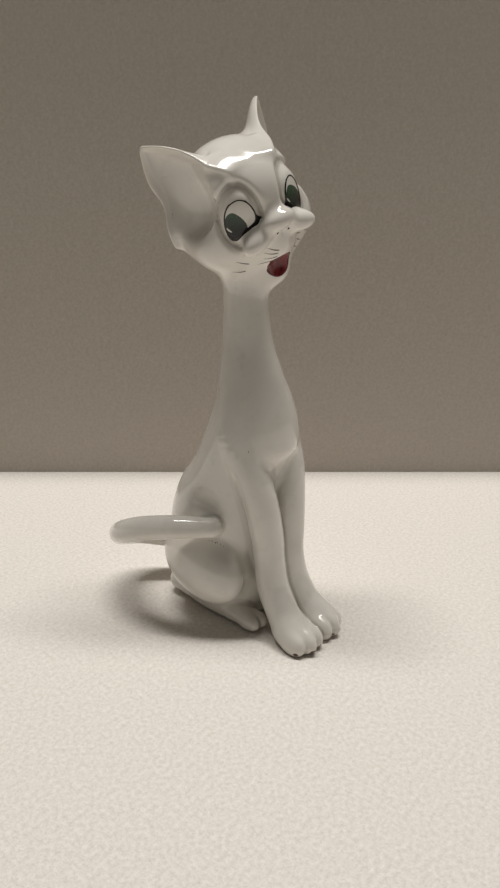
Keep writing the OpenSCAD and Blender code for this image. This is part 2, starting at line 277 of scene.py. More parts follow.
# %% The head's own frame
HEAD_AT = np.array([0, 6, NECK_TOP + 22.5], np.float32)
HEAD_AXES = turned("z", -18) @ turned("y", -21) @ turned("x", 15)
EYE_AT = np.array([-15.3, -23.3, 6], np.float32)
EYE_AXES = turned("z", -30) @ turned("x", 96)


def in_head(points):
    return (points - HEAD_AT) @ HEAD_AXES


def from_head(points):
    return np.asarray(points) @ HEAD_AXES.T + HEAD_AT


def in_eye(head_points, side):
    return (mirrored(head_points, side) - EYE_AT) @ EYE_AXES


def from_eye(points, side):
    return from_head(mirrored(np.asarray(points) @ EYE_AXES.T + EYE_AT, side))


# %% Skull, sockets and eyes
def right_half(q):
    """Folds the head's left side on to its right, for forms that come in pairs."""
    folded = q.copy()
    folded[:, 0] = -np.abs(q[:, 0])
    return folded


SKULL = ((0, 4, 1.6), (29.8, 30.6, 26.9))
CHEEK = ((-15, -3.5, -13), (17.5, 20, 15.5))
BROW = ((0, -2.6, 7.6), (24.5, 24.6, 19.2))
JAW = ((0, -9, -22), (15, 15, 15.5))
JOWL = [(-27, 13, -6, 5), (-22.5, 12, -14, 7.5), (-13, 10, -22, 10), (-5, 6, -27, 11)]
EYE_MIDDLE = (-0.4, -1.0)
EYE_RADII = (8.9, 11.6)
GROOVE_DEEP, GROOVE_WIDE, GROOVE_AT = 1.9, 0.2, 1.14     # width and place as shares of the eye
EYE_SUNK = 0.7
FACE_THICK, FACE_FADE = 24, 8       # behind the face the pressing fades out


def eye_pressing(eye):
    """How deep the tool pressed: a groove round each eye, with the eye itself left as a low dome."""
    x, y = (eye[:, 0] - EYE_MIDDLE[0]) / EYE_RADII[0], (eye[:, 1] - EYE_MIDDLE[1]) / EYE_RADII[1]
    out = np.sqrt(x * x + y * y)
    groove = GROOVE_DEEP * np.exp(-((out - GROOVE_AT) / GROOVE_WIDE) ** 2)
    inside = EYE_SUNK * np.clip((GROOVE_AT - out) / GROOVE_WIDE, 0, 1)
    return (groove + inside) * np.clip((eye[:, 2] + FACE_THICK) / FACE_FADE, 0, 1)


def skull(q):
    half = right_half(q)
    form = join(ball(q, *SKULL), ball(half, *CHEEK), FILLET["cheek to skull"])
    form = join(form, ball(q, *BROW), FILLET["brow to skull"])
    form = join(form, limb(half, JOWL, 3), FILLET["jowl to skull"])
    form = join(form, ball(q, *JAW), FILLET["jaw to skull"])
    return form + eye_pressing(in_eye(half, RIGHT))


# %% Muzzle and chin
PAD = ((-10.8, -28.8, -5.4), (10.4, 5.6, 5.2))
PAD_AXES = turned("y", -15) @ turned("z", 12)
NOSE = ((0, -31.2, 0.6), (8.6, 5.2, 4.6))
LIP = ((0, -23.5, -11), (11, 9, 13))
CHIN = ((0, -17, -32), (9.5, 8.5, 8))


def muzzle(q):
    pads = ball(right_half(q), *PAD, PAD_AXES)
    pads_and_nose = join(pads, ball(q, *NOSE), FILLET["pad to nose"])
    return join(pads_and_nose, ball(q, *LIP), FILLET["pads to lip"])


def chin(q):
    return ball(q, *CHIN)


MOUTH = ((0, -28.6, -25.6), (8, 5, 7.2))
MOUTH_ROUNDING = 1.6
DIMPLE = ((-19.5, -27.5, -12.5), (2.6, 2.6, 2))
DIMPLE_ROUNDING = 1.5


def face_pressings(clay, q):
    """The open mouth and the dimple beside each pad, pressed in with a rounded tool."""
    clay = cut(clay, ball(q, *MOUTH), MOUTH_ROUNDING)
    return cut(clay, ball(right_half(q), *DIMPLE), DIMPLE_ROUNDING)

# %% [markdown]
# ## Ears
#
# An ear is a leaf of clay, cupped in the palm and pressed on by its wide root. In its own frame one
# axis runs up to the tip, one runs along the root and one points out of the cup. The sheet's middle
# sags away from the rim, and a ball presses the root's inner side so that cup and cheek run together.

# %% Ear
EAR_ROOT = np.array([-24.3, 6.3, 6.5], np.float32)
EAR_DOWN = np.array([-0.414, 0.369, -0.832], np.float32)
EAR_OUT = np.array([-0.795, -0.591, 0.133], np.float32)
EAR_UP = np.cross(EAR_DOWN, EAR_OUT)
EAR_LENGTH, EAR_HALF, EAR_SKEW = 33.5, 21.0, 10.7      # half its width at the root, and the tip's lean
EAR_WALL, EAR_CUP = 1.6, 11.0       # half the sheet's thickness, and how far its middle sags
EAR_BULGE_TOP, EAR_BULGE_LOW, EAR_LOW_PEAK = 3.6, 4.2, 1.8
EAR_ROOT_DEEP, EAR_ROOT_SLANT = 9, 0.35
EAR_EDGE, EAR_END = 2.2, 2      # how softly the rim and the tip are rounded
EAR_HOLLOW = ((-2, 1, 6.5), (13.5, 15.5, 8.5))
EAR_HOLLOW_ROUNDING = 10


def in_ear(q, side):
    r = mirrored(q, side) - EAR_ROOT
    return np.stack([r @ EAR_DOWN, r @ EAR_UP, r @ EAR_OUT], -1)


def ear(q, side):
    down, up, out = in_ear(q, side).T
    t = np.clip(up / EAR_LENGTH, -0.4, 1)
    up_leaf = np.clip(t, 0, 1)
    top = -EAR_HALF + (EAR_HALF - EAR_SKEW) * t - EAR_BULGE_TOP * np.sin(np.pi * up_leaf) - 1
    low = EAR_HALF - (EAR_HALF + EAR_SKEW) * t + EAR_BULGE_LOW * np.sin(np.pi * up_leaf ** EAR_LOW_PEAK)
    middle, half = (top + low) / 2, np.maximum((low - top) / 2, 0.5)
    across = (down - middle) / half
    sag = -EAR_CUP * (half / EAR_HALF) * (1 - np.clip(across * across, 0, 1.3))
    sheet = cut(np.abs(out - sag) - EAR_WALL, -(np.abs(down - middle) - half) * 0.85, EAR_EDGE)
    root = -up - EAR_ROOT_DEEP + EAR_ROOT_SLANT * np.maximum(down, 0)
    return cut(sheet, -np.maximum(up - EAR_LENGTH, root), EAR_END)


def ear_hollow(q, side):
    return ball(in_ear(q, side), *EAR_HOLLOW)

# %% [markdown]
# ## The whole clay form
#
# The fillets differ, because the maker smooths some joints more than others: the haunches melt into
# the torso, the ears flow into the skull, and the forelegs keep a crease where they meet.

# %% Joining the clay
LOW_PARTS = ["body", "foreleg_right", "foreleg_left", "haunch_right", "haunch_left",
             "hind_foot_right", "hind_foot_left", "tail"]
HIGH_PARTS = ["head", "ear_right", "ear_left", "muzzle", "chin"]
FLANK_HOLLOW = ((-34, 7, 78), (7, 12, 8))
FLANK_ROUNDING = 6
POUR_HOLE = ((0, 26, 0), (6, 6, 30))
POUR_HOLE_ROUNDING = 1.5
HEAD_FROM, LEGS_TO = 175, 205       # heights: no head below the first, no leg or tail above the second
UNDER_HEAD = 183        # below HEAD_FROM the head's distance is taken from this height


def low_forms(points):
    return [torso(points)] + [form(points, side) for form in (foreleg, haunch, hind_foot)
                              for side in (RIGHT, LEFT)] + [tail(points)]


def low_clay(forms, points):
    trunk, leg_r, leg_l, haunch_r, haunch_l, foot_r, foot_l, tail_form = forms
    for haunch_form in (haunch_r, haunch_l):
        trunk = join(trunk, haunch_form, FILLET["haunch to torso"])
    clay = join(trunk, join(leg_r, leg_l, FILLET["leg to leg"]), FILLET["legs to torso"])
    for foot in (foot_r, foot_l):
        clay = join(clay, foot, FILLET["hind foot to haunch"])
    clay = cut(clay, ball(points, *FLANK_HOLLOW), FLANK_ROUNDING)
    clay = cut(clay, ball(points, *POUR_HOLE), POUR_HOLE_ROUNDING)
    return join(clay, tail_form, FILLET["tail to flank"])


def high_forms(points):
    q = in_head(points)
    return [skull(q), ear(q, RIGHT), ear(q, LEFT), muzzle(q), chin(q)]


def high_clay(forms, points):
    q = in_head(points)
    head_form, ear_r, ear_l, muzzle_form, chin_form = forms
    clay = join(head_form, muzzle_form, FILLET["muzzle to skull"])
    clay = join(clay, chin_form, FILLET["chin to jaw"])
    for side, form in ((RIGHT, ear_r), (LEFT, ear_l)):
        clay = cut(join(clay, form, FILLET["ear to skull"]), ear_hollow(q, side), EAR_HOLLOW_ROUNDING)
    return face_pressings(clay, q)


def whole_clay(points):
    """The finished surface, with the head joined to the neck and a flat foot."""
    z = points[:, 2]
    clay = np.empty(len(points), np.float32)
    low, high = z < LEGS_TO, z > HEAD_FROM
    clay[~low] = torso(points[~low])
    clay[low] = low_clay(low_forms(points[low]), points[low])
    top = np.maximum(UNDER_HEAD - z, 1)
    top[high] = high_clay(high_forms(points[high]), points[high])
    return np.maximum(join(clay, top, FILLET["head to neck"]), -z)

# %% [markdown]
# ## From the field to a skin
#
# A renderer needs faces. Metaballs or a voxel remesh would give them, but both forget which piece of
# clay is which. So this is a small version of "surface nets" that knows its pieces. Space is a grid of
# points and each point is given a label: zero for air, or the number of the piece that holds it. A face
# goes between any two neighbours whose labels differ. Every piece then closes on its own, and two
# pieces share the very same joint. Last, each outer vertex slides on to the exact surface.

# %% A grid of values near the skin
STEEPEST = 1.35     # a field's value may fall this much faster than true distance


def near_skin(clay, low, high, step, block=8):
    """The grid's values, worked out only in the blocks that the skin passes through."""
    low = np.array(low, float)
    blocks = np.ceil((np.array(high) - low) / (step * block)).astype(int)
    middles = [low[k] + (np.arange(blocks[k]) + 0.5) * block * step for k in range(3)]
    grid = np.stack(np.meshgrid(*middles, indexing="ij"), -1).reshape(-1, 3).astype(np.float32)
    rough = clay(grid).reshape(blocks)
    values = np.where(rough < 0, np.float32(-9), np.float32(9))
    values = values.repeat(block, 0).repeat(block, 1).repeat(block, 2)
    busy = np.argwhere(np.abs(rough) < block * step * math.sqrt(3) / 2 * STEEPEST + step)
    cell = np.stack(np.meshgrid(*[np.arange(block)] * 3, indexing="ij"), -1).reshape(-1, 3)
    for group in np.array_split(busy, max(1, len(busy) // 400)):
        at = (group[:, None] * block + cell).reshape(-1, 3)
        values[tuple(at.T)] = clay((low + at * step).astype(np.float32))
    return values


def labelled(values, low, step, forms):
    """Air is 0; each clay point gets 1 + the index of the form that it is deepest inside."""
    labels = np.zeros(values.shape, np.uint8)
    inside = np.argwhere(values < 0)
    for group in np.array_split(inside, max(1, len(inside) // 300000)):
        distances = np.stack(forms((np.array(low) + group * step).astype(np.float32)), -1)
        labels[tuple(group.T)] = 1 + distances.argmin(-1)
    return labels


# %% Faces between labels
def crossings(values, labels, axis):
    """Grid edges along one axis whose ends differ: where they start, both labels, how far along."""
    start = tuple(slice(0, -1) if k == axis else slice(None) for k in range(3))
    end = tuple(slice(1, None) if k == axis else slice(None) for k in range(3))
    edges = np.argwhere(labels[start] != labels[end])
    edges = edges[(np.delete(edges, axis, 1) > 0).all(1)]
    ends = edges.copy()
    ends[:, axis] += 1
    la, lb = labels[tuple(edges.T)], labels[tuple(ends.T)]
    va, vb = values[tuple(edges.T)], values[tuple(ends.T)]
    skin = (la == 0) | (lb == 0)
    along = np.where(skin, np.clip(va / np.where(va == vb, 1, va - vb), 0, 1), 0.5)
    return edges, la, lb, skin, along


def nets(values, labels, low, step):
    """Vertices, quads, the labels behind and in front of each, and which vertices are on the skin."""
    quads, behind, front, cells, points, weights = [], [], [], [], [], []
    for axis in range(3):
        edges, la, lb, skin, along = crossings(values, labels, axis)
        u, v = (axis + 1) % 3, (axis + 2) % 3
        corners = []
        for du, dv in ((1, 1), (0, 1), (0, 0), (1, 0)):
            cell = edges.copy()
            cell[:, u] -= du
            cell[:, v] -= dv
            corners.append(np.ravel_multi_index(cell.T, labels.shape))
        quads.append(np.stack(corners, -1))
        behind.append(la)
        front.append(lb)
        cells.append(quads[-1].reshape(-1))
        point = edges.astype(float)
        point[:, axis] += along
        points.append(point.repeat(4, 0))
        weights.append(np.where(skin, 1.0, 1e-4).repeat(4))
    names, where = np.unique(np.concatenate(cells), return_inverse=True)
    points, weights = np.vstack(points), np.concatenate(weights)
    total = np.bincount(where, weights)
    vertices = np.stack([np.bincount(where, points[:, k] * weights) / total for k in range(3)], -1)
    on_skin = np.bincount(where, weights > 0.5) > 0
    quads = np.searchsorted(names, np.vstack(quads))
    return np.array(low) + vertices * step, quads, np.concatenate(behind), np.concatenate(front), on_skin


# %% Sliding points on to the exact surface
def slope_of(points, clay, reach=0.05):
    shift = np.eye(3, dtype=np.float32) * reach
    return np.stack([(clay(points + s) - clay(points - s)) / (2 * reach) for s in shift], -1)


def onto_skin(points, clay, steps=3, most=0.6):
    points = np.asarray(points, np.float32)
    for _ in range(steps):
        slope = slope_of(points, clay)
        fall = np.clip(clay(points), -most, most) / np.maximum((slope ** 2).sum(-1), 0.2)
        points = points - fall[:, None] * slope
    return points


def outward(points, clay):
    slope = slope_of(points, clay)
    return slope / np.maximum(size(slope), 1e-6)[:, None]


def bend_of(points, clay, reach=1.2):
    """How much the surface bends: above 0 on ridges and rims, below 0 in creases."""
    shift = np.eye(3, dtype=np.float32) * reach
    around = sum(clay(points + s) + clay(points - s) for s in shift)
    return (around - 6 * clay(points)) / reach ** 2

# %% [markdown]
# ## The clay pieces
#
# The low grid holds the torso, legs and tail; the head gets a finer one. Each vertex keeps two facts
# for the glaze: how much the surface bends there, because molten glaze runs off rims and pools in
# creases, where painted shade is also laid, and how near the bare foot is, because the foot is wiped clean
# before firing.
# The normals come from the field's own slope, so highlights run smoothly over the mesh.

# %% One mesh from vertices and faces
def new_piece(name, points, faces, node, normals=None, facts=None):
    mesh = bpy.data.meshes.new(name)
    mesh.from_pydata(to_frame(points).tolist(), [], [list(f) for f in faces])
    mesh.polygons.foreach_set("use_smooth", np.ones(len(mesh.polygons), bool))
    if normals is not None:
        mesh.normals_split_custom_set_from_vertices(normals.tolist())
    for fact, values in (facts or {}).items():
        mesh.attributes.new(fact, "FLOAT", "POINT").data.foreach_set("value", values.astype(np.float32))
    mesh.update()
    piece = bpy.data.objects.new(name, mesh)
    bpy.context.scene.collection.objects.link(piece)
    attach(piece, "root")
    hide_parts(node)
    return piece


FOOT_WIPED = 0.3        # how high up the foot the glaze was wiped off
CHIPS = [       # x, y, z and radius
    (-20.9, -52.5, 2.4, 1.5), (-13.3, -58.3, 2.2, 1.9), (-5.4, -58.3, 2.2, 1.6),
    (7, -57.6, 2.6, 1.4), (-10.6, -56, 0.6, 1.5)]
CHIP_RAGGED = 0.5


def to_bare_clay(points):
    """Millimetres from each point to the nearest bare clay: the wiped foot, or a chip at the toes."""
    chips = [size(points - np.array(chip[:3], np.float32)) - chip[3] for chip in CHIPS]
    return np.min([points[:, 2] + FOOT_WIPED] + [chip + CHIP_RAGGED for chip in chips], 0)


def clay_pieces(names, forms, low, high, step, lift=0.0):
    """Meshes for the named labels of one grid; a label named None is left out."""
    values = near_skin(whole_clay, low, high, step)
    labels = labelled(values, low, step, forms)
    vertices, quads, behind, front, skin = nets(values, labels, low, step)
    vertices = vertices.astype(np.float32)
    vertices[skin] = onto_skin(vertices[skin], whole_clay)
    bottom = vertices[:, 2] < 0
    vertices[bottom, 2] = 0
    normals = outward(vertices, whole_clay)
    bend = bend_of(vertices, whole_clay)
    vertices[skin] += normals[skin] * lift
    made = {}
    for label, name in enumerate(names, 1):
        if name is None:
            continue
        faces = np.vstack([quads[behind == label], quads[front == label][:, ::-1]])
        used, faces = np.unique(faces, return_inverse=True)
        facts = {"bend": bend[used], "foot": to_bare_clay(vertices[used])}
        made[name] = new_piece(name, vertices[used], faces.reshape(-1, 4), name,
                               normals[used], facts)
        print(name, len(used), "vertices,", faces.size // 4, "quads")
    return made


# %% Body, legs and tail
LOW_GRID = ((-63, -64, -2.1), (44, 88, 226), 0.8)       # lowest corner, highest corner, step
clay = {}
clay.update(clay_pieces(LOW_PARTS + [None], lambda p: low_forms(p) + [np.min(high_forms(p), 0)],
                        *LOW_GRID))

# %% Head, ears, muzzle and chin
NECK_OVERLAP = 1.0      # the head's clay laps this far over the neck, as the slip in the joint does
HIGH_GRID = ((-64, -46, 186), (52, 50, 292), 0.5)
HEAD_LIFT = 0.03        # the lap lies this much outside the neck, so the two skins can't flicker
clay.update(clay_pieces([None] + HIGH_PARTS, lambda p: [torso(p) + NECK_OVERLAP] + high_forms(p),
                        *HIGH_GRID, lift=HEAD_LIFT))

# %% [markdown]
# ## Enamel on glaze
#
# The face is painted over the fired glaze in enamel and fired again, so every stroke is a thin raised
# film that follows the surface under it. A flat decal or a colour mask would lose that edge. Each
# stroke here is a grid of points that slides on to the skin, rises by the film's thickness, and is
# closed underneath by a back that is sunk into the glaze.

# %% A closed film over a grid of points
SUNK = 0.25     # how deep the hidden back of a film lies
SLIDES, SLIDE_MOST = 6, 2.0     # paint starts farther off the skin than the mesh does
SOFT_EDGE = 1.05        # a film's section is the root of this less the square of the way across


def film(grid, lift, ring=False, capped=False):
    """A closed shell over a grid of points near the skin; a ring joins its last row to its first."""
    rows, columns = grid.shape[:2]
    flat = onto_skin(grid.reshape(-1, 3), whole_clay, SLIDES, SLIDE_MOST)
    normals = outward(flat, whole_clay)
    index = np.arange(rows * columns).reshape(rows, columns)
    if ring:
        index = np.vstack([index, index[:1]])
    back = index + rows * columns
    a, b, c, d = index[:-1, :-1], index[1:, :-1], index[1:, 1:], index[:-1, 1:]
    top = np.stack([a, b, c, d], -1).reshape(-1, 4)
    rims = [(index[1:, 0], index[:-1, 0])]
    if not capped:
        rims.append((index[:-1, -1], index[1:, -1]))
    if not ring:
        rims += [(index[0, :-1], index[0, 1:]), (index[-1, 1:], index[-1, :-1])]
    faces = top.tolist() + (top[:, ::-1] + rows * columns).tolist()
    for one, two in rims:
        faces += np.stack([one, two, two + rows * columns, one + rows * columns], -1).tolist()
    if capped:
        faces += [index[:-1, -1].tolist(), back[:-1, -1][::-1].tolist()]
    first = flat[top[:, 1]] - flat[top[:, 0]]
    second = flat[top[:, 2]] - flat[top[:, 1]]
    if (np.cross(first, second) * normals[top[:, 0]]).sum() < 0:
        faces = [f[::-1] for f in faces]
    points = np.vstack([flat + normals * lift.reshape(-1, 1), flat - normals * SUNK])
    return points, faces, np.vstack([normals, normals])


def enamel(name, films, facts=None):
    points, faces, normals = [], [], []
    for film_points, film_faces, film_normals in films:
        start = sum(len(p) for p in points)
        points.append(film_points)
        faces += [[i + start for i in face] for face in film_faces]
        normals.append(film_normals)
    points, normals = np.vstack(points), np.vstack(normals)
    piece = new_piece(name, points, faces, name, normals, facts(points) if facts else None)
    print(name, len(points), "vertices in", len(films), "films")
    return piece


# %% Brush strokes and filled shapes
def stroke(rows, thickness, across=7, steps=8):
    """A brush stroke along rows of x, y, z and half width, all in the maker's millimetres."""
    path = smooth_path(rows, steps)
    flat = onto_skin(path[:, :3], whole_clay, SLIDES, SLIDE_MOST)
    normals = outward(flat, whole_clay)
    side = np.cross(np.gradient(flat, axis=0), normals)
    side /= size(side)[:, None]
    s = np.linspace(-1, 1, across, dtype=np.float32)
    grid = flat[:, None] + side[:, None] * (path[:, 3:4] * s)[..., None]
    return film(grid, thickness * np.sqrt(SOFT_EDGE - s * s) * np.ones((len(path), 1)))


def smooth_ring(rows, steps):
    rows = list(rows)
    return smooth_path(rows[-1:] + rows + rows[:2], steps)[steps:steps * (len(rows) + 1)]


def filled(outline, thickness, place, rings=22, steps=8):
    """A flat shape filled towards its middle: rows of x, y; `place` carries x, y, 0 to the skin."""
    edge = smooth_ring(outline, steps)
    middle = edge.mean(0)
    shrink = np.linspace(1, 0.04, rings)[:, None]
    flat = middle + (edge - middle)[:, None] * shrink
    grid = place(np.dstack([flat, np.zeros(flat.shape[:2])]).reshape(-1, 3)).reshape(*flat.shape[:2], 3)
    lift = thickness * np.minimum(1, 0.35 + 3 * (1 - shrink[:, 0])) * np.ones((len(edge), 1))
    return film(grid, lift, ring=True, capped=True)

# %% [markdown]
# ## Eyes
#
# Each eye is a round white dome left in the glaze. A black line goes round it, hair-thin above and
# broad along the lower lid, where it runs out into a small wing beside the nose. The iris sits low in
# the corner, so the cat looks to its right, and a slip of white on it is the catchlight.

# %% Eye outlines
EYE_LINE = {    # inner x and y, then outer x and y; x runs towards the nose and y up
    RIGHT: [(-0.2, 8.5, -0.2, 9.7), (2.9, 7.6, 3.5, 8.6), (4.8, 5.5, 5.7, 6.3), (6.1, 2.4, 7.2, 2.8),
            (6.6, -0.9, 7.8, -0.6), (5.6, -3.6, 10, -3), (2.6, -5.6, 4.2, -7), (-1.2, -7.6, -0.6, -9.2),
            (-4.4, -9, -5.5, -10.8), (-6.8, -5.8, -8, -6.3), (-7.8, -1.2, -9.1, -1.2),
            (-7.2, 3.3, -8.4, 3.7), (-4.7, 6.8, -5.4, 7.8)],
    LEFT: [(-0.8, 8, -0.9, 9.2), (2.6, 7.9, 3, 9), (5.2, 6.2, 6.1, 7), (6.8, 2.9, 7.9, 3.3),
           (7.3, -1, 8.5, -0.8), (6.2, -3.8, 10.2, -3.2), (3.4, -6, 4.6, -7.4), (0.4, -7.8, 0.9, -9.2),
           (-2.4, -8.8, -3.3, -10.4), (-4.3, -5.8, -5.4, -6.2), (-4.8, -1.2, -6, -1.2),
           (-4.3, 3.2, -5.4, 3.5), (-3.1, 6.2, -3.8, 7.1)]}
OUTLINE_EDGE, OUTLINE_CROWN = 0.13, 0.06        # its edge stands above the iris, which it laps over


def eye_outline(side):
    ring = smooth_ring(EYE_LINE[side], 10)
    s = np.linspace(0, 1, 9)[None, :, None]
    flat = ring[:, None, :2] * (1 - s) + ring[:, None, 2:] * s
    grid = from_eye(np.dstack([flat, np.zeros(flat.shape[:2])]).reshape(-1, 3), side)
    crown = OUTLINE_CROWN * np.sqrt(SOFT_EDGE - (2 * s[0, :, 0] - 1) ** 2)
    lift = (OUTLINE_EDGE + crown) * np.ones((len(ring), 1))
    return film(grid.reshape(*flat.shape[:2], 3), lift, ring=True)


# %% Irises and catchlights
IRIS = {RIGHT: [(-3.9, 2.7), (-0.9, 1), (1.6, -2.4), (2.4, -5.8), (0.9, -7.6), (-2, -8.8), (-4.9, -10),
                (-7.1, -6.6), (-8.3, -2.4), (-7, 1.2)],
        LEFT: [(3.1, 4.6), (6.2, 3), (7.6, -0.8), (6.6, -4.6), (3.6, -6.8), (0.2, -8.4), (-2.6, -9.4),
               (-4.7, -6), (-4.4, -2.4), (-1.2, 1.9)]}
GLINT = {RIGHT: [(-7, -4.1, 0.15), (-6.6, -4.9, 0.45), (-5.8, -5.8, 0.45), (-5, -6.4, 0.15)],
         LEFT: [(6.9, -0.2, 0.15), (6.6, -1, 0.4), (6.1, -2, 0.4), (5.6, -2.8, 0.15)]}
IRIS_THICK, GLINT_THICK = 0.09, 0.2
GAZE_TOP = 4.5      # the height of the higher iris's top edge in the eye's own frame


def eye_drop(side):
    """How far below the iris's top edge a point is, in millimetres, for the shading of the paint."""
    def drop(points):
        return {"drop": GAZE_TOP - in_eye(in_head(points.astype(np.float32)), side)[:, 1]}
    return drop


def glint(side):
    rows = np.array(GLINT[side])
    flat = from_eye(np.column_stack([rows[:, :2], np.zeros(len(rows))]), side)
    return stroke(np.column_stack([flat, rows[:, 2]]), GLINT_THICK)


paint = {}
for side, word in ((RIGHT, "right"), (LEFT, "left")):
    name = "eye_outline_" + word
    paint[name] = enamel(name, [eye_outline(side)])
    name = "iris_" + word
    irises = [filled(IRIS[side], IRIS_THICK, lambda p, side=side: from_eye(p, side))]
    paint[name] = enamel(name, irises, eye_drop(side))
paint["catchlights"] = enamel("catchlights", [glint(RIGHT), glint(LEFT)])

# %% [markdown]
# ## Mouth, nostrils and whiskers
#
# The open mouth is a shallow pressing filled with dark red. The whiskers are quick strokes of thin
# brown paint that start thick and lift off. They are not alike, because each one is a single flick.

# %% Mouth and nostrils
LIPS = [(-8.4, -26), (-5.6, -23.8), (-1.2, -22), (3.4, -22.4), (6.6, -24.6), (8.4, -27),
        (7.2, -28.8), (4.4, -30.4), (0.4, -31.4), (-3.4, -31.2), (-6.8, -29)]
LIPS_THICK = 0.1
NOSTRILS = [(-2.6, -4.8, 0.6), (3.7, -5.1, 0.6)]        # across, up and radius
NOSTRIL_TALL, NOSTRIL_THICK = 1.25, 0.12
MOUTH_DEPTH, NOSE_DEPTH = -28, -33      # y in the head's frame, from which paint slides to the skin


def on_face(points, depth=MOUTH_DEPTH):
    """From x across and y up the face to the maker's millimetres, near the skin at that depth."""
    return from_head(np.column_stack([points[:, 0], np.full(len(points), depth), points[:, 1]]))


def dot(x, z, radius):
    turns = np.linspace(0, 2 * np.pi, 9)[:-1]
    outline = np.column_stack([x + radius * np.cos(turns), z + NOSTRIL_TALL * radius * np.sin(turns)])
    return filled(outline.tolist(), NOSTRIL_THICK, lambda p: on_face(p, NOSE_DEPTH), rings=5)


paint["mouth_enamel"] = enamel("mouth_enamel", [filled(LIPS, LIPS_THICK, on_face)])
paint["nostrils"] = enamel("nostrils", [dot(*at) for at in NOSTRILS])

# %% Whiskers
WHISKERS = [    # from where the brush lands to where it lifts, in the head's frame
    ((-2.6, -32, -14.1), (-8.8, -30.3, -10.7)), ((-3.1, -31.5, -15.6), (-9.5, -28.7, -13.7)),
    ((-3.5, -30.9, -17.3), (-9.4, -27.6, -17.4)), ((-4.9, -29.3, -19.5), (-12.1, -25.1, -20.2)),
    ((-15.9, -24.1, -18.4), (-22, -22.4, -15)), ((-17.6, -22.4, -22.2), (-23.1, -18.7, -21.5)),
    ((11.4, -27, -12.4), (15.6, -24.8, -15.6)), ((12, -25, -16.6), (16.4, -23, -20.4)),
    ((10.6, -24.6, -20.4), (14.6, -21.6, -23.9)), ((16.8, -23.6, -14), (21, -20.6, -17))]
BRUSH = 0.34        # half the width of the wettest part of a stroke
BRUSH_WET = ((0, 0.35), (0.15, 1), (0.5, 0.85), (0.8, 0.5), (1, 0.15))      # way along, share of BRUSH
WHISKER_SAG = (0, -0.6, -0.5)
WHISKER_THICK = 0.1


def whisker(start, end):
    start, end = np.array(start), np.array(end)
    sag = np.array(WHISKER_SAG)
    rows = [np.append(from_head(start + (end - start) * t + sag * math.sin(math.pi * t)), BRUSH * w)
            for t, w in BRUSH_WET]
    return stroke(rows, WHISKER_THICK, across=5, steps=4)


paint["whiskers"] = enamel("whiskers", [whisker(*w) for w in WHISKERS])

# %% [markdown]
# ## Materials
#
# Every finish here is glass of some kind: a glaze or an enamel. Fired glass has an IOR near 1.5, is not
# a metal, and its gloss depends on how smoothly it melted. What tells them apart is the colour under
# the gloss and the small faults: clouds in the white, specks of iron, pinholes, brush marks.

# %% Colours and nodes
def linear(hex_colour):
    """sRGB hex to the linear values that a shader works with."""
    parts = [int(hex_colour[i:i + 2], 16) / 255 for i in (1, 3, 5)]
    return [v / 12.92 if v <= 0.04045 else ((v + 0.055) / 1.055) ** 2.4 for v in parts] + [1]


def add(tree, kind, links=None, **settings):
    """Adds one node. Links and values are given by input name or number; the rest are its settings."""
    node = tree.nodes.new(kind)
    for key, value in settings.items():
        setattr(node, key, value)
    for key, value in (links or {}).items():
        if isinstance(value, bpy.types.NodeSocket):
            tree.links.new(value, node.inputs[key])
        else:
            node.inputs[key].default_value = value
    return node


def new_finish(name):
    material = bpy.data.materials.new(name)
    material.use_nodes = True
    material.node_tree.nodes.clear()
    return material, material.node_tree


def finish_with(tree, **sockets):
    """A glossy shader with these sockets, wired to the output; names use _ for a space."""
    links = {key.replace("_", " "): value for key, value in sockets.items()}
    shader = add(tree, "ShaderNodeBsdfPrincipled", links)
    add(tree, "ShaderNodeOutputMaterial", {"Surface": shader.outputs[0]})
    return shader


PER_MM = 1 / MM     # noise scales are worked out as PER_MM divided by a size in millimetres


def noise(tree, where, size_mm, detail=2.0, roughness=0.5):
    return add(tree, "ShaderNodeTexNoise", {"Vector": where, "Scale": PER_MM / size_mm, "Detail": detail,
                                            "Roughness": roughness}).outputs["Fac"]


def spread(tree, value, low, high, to_low=0.0, to_high=1.0):
    return add(tree, "ShaderNodeMapRange", {"Value": value, "From Min": low, "From Max": high,
                                            "To Min": to_low, "To Max": to_high}).outputs[0]


def blend(tree, amount, a, b):
    mix = add(tree, "ShaderNodeMix", {0: amount, 6: a, 7: b}, data_type="RGBA")
    return mix.outputs[2]


def sum_of(tree, a, b, operation="ADD"):
    return add(tree, "ShaderNodeMath", {0: a, 1: b}, operation=operation).outputs[0]

# %% [markdown]
# ### White tin glaze on red earthenware
#
# An opaque white glaze hides a red-brown clay. It is never one white: it is cloudy over a few
# centimetres, and cooler and greyer in a crease, partly where glaze gathers and partly as painted shade.
# It is thin enough on a sharp rim to let the body's warmth through. Dust that melted in leaves specks,
# and gas leaves pinholes. The foot was wiped bare, and small chips at the paws show the clay. Melted
# glaze is as smooth as window glass, with a slow ripple from the dip, called orange peel, a few
# millimetres across.

# %% Glaze
CLOUD, SMEAR, SPECK_APART, GLOSS_PATCH, PEEL = 32, 9, 11, 14, 5.5       # millimetres
CHIP_EDGE, CLAY_GRAIN = 1.6, 1.2
PEEL_DEEP, PIT_DEEP = 0.35, 0.2
GLAZE_IOR, ENAMEL_IOR = 1.52, 1.5


